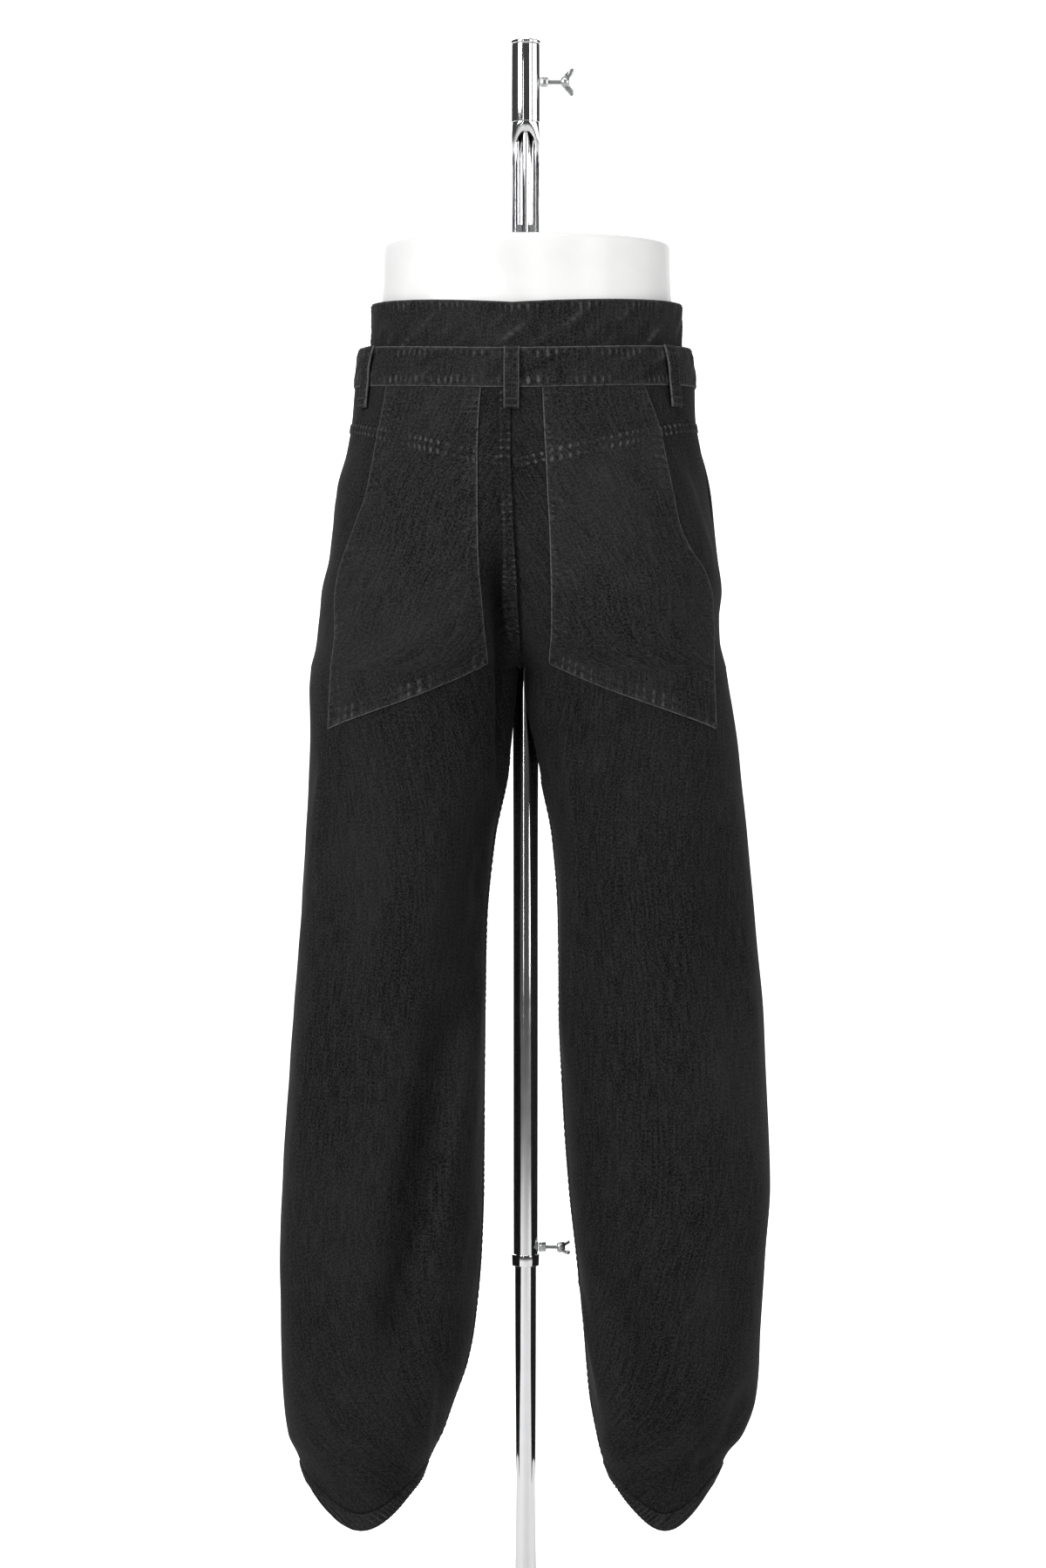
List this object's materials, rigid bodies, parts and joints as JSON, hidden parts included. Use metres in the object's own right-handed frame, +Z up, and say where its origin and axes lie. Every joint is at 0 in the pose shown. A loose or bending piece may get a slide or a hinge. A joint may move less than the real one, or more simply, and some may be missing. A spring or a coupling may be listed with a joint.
{
  "type": "jeans worn by a limbless hip form on a tube stand",
  "caption": "Barrel-leg jeans with a doubled waistband and back patch pockets, worn by a limbless hip form on a height-adjustable tube stand with a round base.",
  "frame": {"origin": "centre of the base plate's underside, on the floor, on the stand's axis", "axes": "+Z up along the stand; the front of the jeans faces -Y and their back faces +Y; +X is the wearer's left"},
  "size_m": [0.4481, 0.32, 1.509],
  "materials": {
    "denim": "washed black twill",
    "denim_inside": "twill, reverse side",
    "button": "dark nickel",
    "form": "satin white",
    "tube": "polished",
    "screw": "zinc plated"
  },
  "bodies": {
    "base": {"base_plate": "tube", "pole_inner": "tube"},
    "carrier": {"yoke_left": "denim", "yoke_right": "denim", "back_left": "denim", "back_right": "denim", "front_left": "denim", "front_right": "denim", "pocket_facing_left": "denim_inside", "pocket_facing_right": "denim_inside", "back_pocket_left": "denim", "back_pocket_right": "denim", "fly_placket": "denim", "hem_left": "denim", "hem_right": "denim", "waistband_lower": "denim", "waistband_upper": "denim", "belt_loop_back": "denim", "belt_loop_back_left": "denim", "belt_loop_back_right": "denim", "belt_loop_front_left": "denim", "belt_loop_front_right": "denim", "button_lower": "button", "button_upper": "button", "hip_form": "form", "pole_outer": "tube", "pole_collar": "tube", "post_tube": "tube", "post_rod": "tube", "rod_clip": "screw", "post_sleeve": "tube", "post_cap": "tube", "clamp_boss_low": "screw", "clamp_boss_top": "screw"},
    "screw_low": {"wing_screw_low": "screw"},
    "screw_top": {"wing_screw_top": "screw"}
  },
  "joints": [
    {"name": "height_slide", "type": "slide", "parent": "base", "child": "carrier", "axis": [0, 0, 1], "range_m": [-0.08, 0.2]},
    {"name": "low_screw_turn", "type": "hinge", "parent": "carrier", "child": "screw_low", "pos_m": [-0.03, 0, 0.4044], "axis": [-1, 0, 0], "continuous": true},
    {"name": "top_screw_turn", "type": "hinge", "parent": "carrier", "child": "screw_top", "pos_m": [-0.03, 0, 1.4714], "axis": [-1, 0, 0], "continuous": true}
  ]
}
